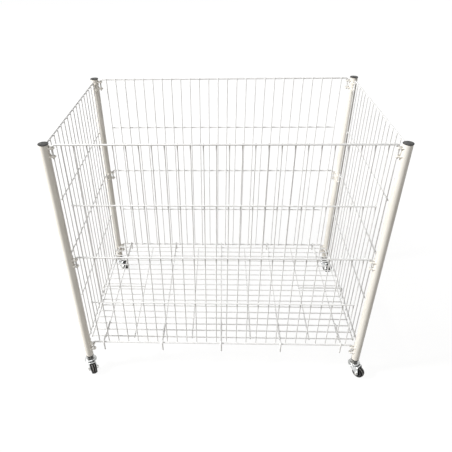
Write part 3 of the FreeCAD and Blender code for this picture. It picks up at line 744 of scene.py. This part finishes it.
# Wheels. One side of a tyre's or hub's outline is written, and the other mirrors it.
tyreShape = dict(
    tread=0.009, wall=0.006, crown=0.0016, crownSteps=6, shoulder=0.0024, shoulderSteps=6, rimEdge=0.0008,
    sides=72)
hubShape = dict(
    bore=0.00465, boss=0.0065, bossReach=0.0102, bossTaper=0.0006, web=0.0025, rim=0.0025,
    fillet=0.0008, inset=0.0004, soft=0.0006, sides=64)


def mirrored(outline):
    return [(r, -z) for r, z in reversed(outline)]


def tyre(corner, place, radius):
    half, inside, steps = tyreShape["tread"], radius - tyreShape["wall"], tyreShape["crownSteps"]
    crown, shoulder, edge = (tyreShape[name] for name in ("crown", "shoulder", "rimEdge"))
    flat = half - shoulder
    tread = [(radius - crown * (step / steps) ** 2, flat * step / steps) for step in range(steps + 1)]
    side = arc((radius - crown - shoulder, flat), shoulder, 0, 90, tyreShape["shoulderSteps"])
    outer = tread[1:] + side[1:] + [(inside + edge, half), (inside, half - edge)]
    mesh = turned(mirrored(outer) + [tread[0]] + outer, tyreShape["sides"])
    rolling = mesh.attributes.new("rolling", "FLOAT_VECTOR", "POINT")  # across the tread, then round the axle
    for vertex, item in zip(mesh.vertices, rolling.data):
        x, y, z = vertex.co
        item.vector = (z / half, x / radius, y / radius)
    addPiece("tyre_" + corner + "_tread", [weighted(moved(mesh, place))],
             "wheel_" + corner, "tyre_rubber", "tyre_" + corner)


def hub(corner, place, radius):
    half, inside = tyreShape["tread"], radius - tyreShape["wall"]
    boss, reach, web, fillet = (hubShape[name] for name in ("boss", "bossReach", "web", "fillet"))
    rim = inside - hubShape["rim"]
    flank = [(hubShape["bore"], reach), (boss - hubShape["bossTaper"], reach), (boss, web + fillet),
             (rim - fillet, web), (rim, half - fillet), (inside, half - hubShape["inset"])]
    outline = eased(flank + mirrored(flank), hubShape["soft"], steps=3)
    addPiece("hub_" + corner + "_disc", [weighted(turned(outline, hubShape["sides"], place))],
             "wheel_" + corner, "hub_plastic", "hub_" + corner)


# Axle bolts and nuts. The bolt's head is on the other side of the fork from the nut.
axleShape = dict(across=0.010, head=0.004, nut=0.005, shank=0.003, thread=0.001, soft=0.0007, sides=32)
hexShape = dict(edge=0.00015, endSides=48)


def hexRod(across, low, high, place, soft):  # hexagon with its corners turned down at the ends
    reach = across / 2 / math.cos(math.pi / 6)
    body = extrudedFace([(reach * math.cos(step * math.pi / 3), reach * math.sin(step * math.pi / 3), low)
                         for step in range(6)], Vector((0, 0, high - low)))
    ends = turned([(0, low), (across / 2, low), (reach, low + soft), (reach, high - soft),
                   (across / 2, high), (0, high)], hexShape["endSides"])
    return moved(weighted(smoothFaces(shared(body, ends)), hexShape["edge"]), place)


def axle(corner, place):
    side = forkShape["inside"] + forkShape["gauge"]
    across, radius, soft = (axleShape[name] for name in ("across", "shank", "soft"))
    nutEnd = side + axleShape["nut"]
    end = nutEnd + axleShape["thread"]
    head = hexRod(across, -side - axleShape["head"], -side, place, soft)
    shank = eased([(0, -side), (radius, -side), (radius, end), (0, end)], soft, steps=2)
    addPiece("axle_bolt_" + corner + "_body", [head, weighted(turned(shank, axleShape["sides"], place))],
             "fork_" + corner, "axle_steel", "axle_bolt_" + corner)
    addPiece("axle_nut_" + corner + "_body", [hexRod(across, side, nutEnd, place, soft)],
             "fork_" + corner, "axle_steel", "axle_nut_" + corner)


# What holds a caster on its post, from the tube down: socket, stem with its collar, raceway cup and washer.
socketShape = dict(plug=0.0112, flange=0.005, taper=0.0006, taperRise=0.002, soft=0.0006, sides=56)
stemShape = dict(
    shank=0.005, engagement=0.024, across=0.017, collar=0.010, collarSoft=0.0009,
    rivet=0.0075, rivetHead=0.002, rivetFlat=0.7, rivetEdge=0.0008, play=0.0002, soft=0.0006, sides=40)
cupShape = dict(gauge=0.002, bore=0.0145, lip=0.0015, soft=0.0013, sides=64)
washerShape = dict(thickness=0.0016, gap=0.0002, sides=40)


def mountings():
    sockets, stems, cups, washers = [], [], [], []
    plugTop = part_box("tube_sockets")[1].z
    eye, race = forkShape["eye"], forkShape["race"]
    plug, shank, rivet = socketShape["plug"], stemShape["shank"], stemShape["rivet"]
    bore, wall = cupShape["bore"], cupShape["bore"] + cupShape["gauge"]
    for corner in corners:
        at, tube, base, _ = postFrame(corner)
        collarTop = base - socketShape["flange"]
        cupTop = collarTop - stemShape["collar"]
        ceiling = cupTop - cupShape["gauge"]
        washerBase = ceiling - washerShape["thickness"]
        crownTop = washerBase - washerShape["gap"] - forkShape["raceRise"]
        under = crownTop - forkShape["gauge"] - stemShape["play"]
        socket = eased([
            (eye, collarTop), (tube - socketShape["taper"], collarTop),
            (tube, collarTop + socketShape["taperRise"]), (tube, base),
            (plug, base), (plug, plugTop), (eye, plugTop)], socketShape["soft"], steps=3)
        shankTop, headBase = base + stemShape["engagement"], under - stemShape["rivetHead"]
        stem = eased([
            (0, headBase), (rivet * stemShape["rivetFlat"], headBase),
            (rivet, under - stemShape["rivetEdge"]), (rivet, under),
            (shank, under), (shank, shankTop), (0, shankTop)], stemShape["soft"], steps=2)
        lip = crownTop + cupShape["lip"]
        cup = eased([
            (eye, ceiling), (bore, ceiling), (bore, lip), (wall, lip), (wall, cupTop), (eye, cupTop)],
            cupShape["soft"], steps=4)
        washer = [(eye, washerBase), (race, washerBase), (race, ceiling), (eye, ceiling)]
        sockets.append(weighted(turned(socket, socketShape["sides"], at)))
        stems.append(weighted(turned(stem, stemShape["sides"], at)))
        stems.append(hexRod(stemShape["across"], cupTop, collarTop, at, stemShape["collarSoft"]))
        cups.append(weighted(turned(cup, cupShape["sides"], at)))
        washers.append(weighted(turned(washer, washerShape["sides"], at)))
    addPiece("tube_sockets_pieces", sockets, "frame", "socket_plastic", "tube_sockets")
    # The stems and collars take the near-black steel, painted shade, in place of their zinc plate.
    addPiece("caster_stems_pieces", stems, "frame", "zinc_plate", "caster_stems", look="stem_painted_shade")
    addPiece("raceway_cups_pieces", cups, "frame", "zinc_plate", "raceway_cups")
    addPiece("swivel_washers_pieces", washers, "frame", "washer_plastic", "swivel_washers")


for corner in corners:
    caster = casterFrame(corner)
    fork(corner)
    tyre(corner, caster["axle"], caster["height"])
    hub(corner, caster["axle"], caster["height"])
    axle(corner, caster["axle"])
mountings()
print("casters made")

for node, piece in frame["nodes"].items():  # the axle bushes are still shown as they came
    if not piece.hide_render:
        piece.data.materials.clear()
        piece.data.materials.append(looks["axle_steel"])
        print("kept", node)


# Floor, light and camera. The floor's glow goes from shadow to white over shadowReach, from the middle out.
studio = dict(
    floorSize=16.0, floorColour=(0.44, 0.42, 0.39), seenColour=(0.085, 0.083, 0.080),
    glow=(0.94, 1.0), shadowReach=(0.75, 1.6), white=(1, 1, 1, 1),
    ambient=0.10, ambientColour=(1.0, 0.99, 0.97),
    key=dict(power=385.0, at=(-4.85, -1.2, 3.5), size=0.7),
    top=dict(power=110.0, at=(-0.5, -2.6, 5.3), size=1.6), aim=(0, 0, 0.4))


def seenDirectly(tree):  # 1 for what is looked at, straight or by a reflection, and 0 for light on the bin
    seen = addNode(tree, "ShaderNodeLightPath").outputs
    straight = addMaths(tree, "MAXIMUM", seen["Is Camera Ray"], seen["Is Glossy Ray"])
    return addMaths(tree, "MAXIMUM", straight, seen["Is Transmission Ray"])


def setFloor():
    size = studio["floorSize"] / 2
    mesh = bpy.data.meshes.new("floor")
    points = [(-size, -size, 0), (size, -size, 0), (size, size, 0), (-size, size, 0)]
    mesh.from_pydata(points, [], [(0, 1, 2, 3)])
    floor = bpy.data.objects.new("floor", mesh)
    bpy.context.scene.collection.objects.link(floor)
    material = bpy.data.materials.new("paleFloor")
    material.use_nodes = True
    tree = material.node_tree
    tree.nodes.clear()
    direct = seenDirectly(tree)
    where = addNode(tree, "ShaderNodeTexCoord").outputs["Object"]
    away = addNode(tree, "ShaderNodeVectorMath", {0: where}, operation="LENGTH").outputs["Value"]
    white = addRamp(tree, away, *studio["shadowReach"], *studio["glow"], interpolation_type="SMOOTHSTEP")
    tone = addMix(tree, direct, (*studio["floorColour"], 1), (*studio["seenColour"], 1))
    cloth = addNode(tree, "ShaderNodeBsdfDiffuse", {"Color": tone})
    glow = addNode(tree, "ShaderNodeEmission", {
        "Color": studio["white"], "Strength": addMaths(tree, "MULTIPLY", direct, white)})
    both = addNode(tree, "ShaderNodeAddShader", {0: cloth.outputs[0], 1: glow.outputs[0]})
    addNode(tree, "ShaderNodeOutputMaterial", {"Surface": both.outputs[0]})
    mesh.materials.append(material)


def setWorld():
    world = bpy.data.worlds.new("studio")
    bpy.context.scene.world = world
    world.use_nodes = True
    tree = world.node_tree
    tree.nodes.clear()
    soft = addNode(tree, "ShaderNodeBackground", {
        "Color": (*studio["ambientColour"], 1), "Strength": studio["ambient"]})
    white = addNode(tree, "ShaderNodeBackground", {"Color": studio["white"], "Strength": 1.0})
    mix = addNode(tree, "ShaderNodeMixShader", {
        0: seenDirectly(tree), 1: soft.outputs[0], 2: white.outputs[0]})
    addNode(tree, "ShaderNodeOutputWorld", {"Surface": mix.outputs[0]})


def addLamp(name, power, at, size):
    lamp = bpy.data.lights.new(name, "AREA")
    lamp.energy, lamp.size = power, size
    holder = bpy.data.objects.new(name, lamp)
    holder.location = at
    holder.rotation_euler = (Vector(studio["aim"]) - Vector(at)).to_track_quat("-Z", "Y").to_euler()
    bpy.context.scene.collection.objects.link(holder)


view = dict(
    at=(-0.0058, -1.3543, 1.2702), yaw=-0.0465, pitch=0.607, roll=-0.0203,
    lens=37.42, sensor=36.0, shift=(0.0529, 0.0380))


def setCamera():
    data = bpy.data.cameras.new("camera")
    data.lens, data.sensor_width = view["lens"], view["sensor"]
    data.shift_x, data.shift_y = view["shift"]
    camera = bpy.data.objects.new("camera", data)
    turn = (Matrix.Rotation(-view["yaw"], 4, "Z") @ Matrix.Rotation(math.pi / 2 - view["pitch"], 4, "X")
            @ Matrix.Rotation(view["roll"], 4, "Z"))
    camera.matrix_world = Matrix.Translation(view["at"]) @ turn
    bpy.context.scene.collection.objects.link(camera)
    bpy.context.scene.camera = camera


setFloor()
setWorld()
for name in ("key", "top"):
    addLamp(name, **studio[name])
setCamera()
bpy.context.scene.view_settings.view_transform = "Standard"
print("floor, light and camera set")
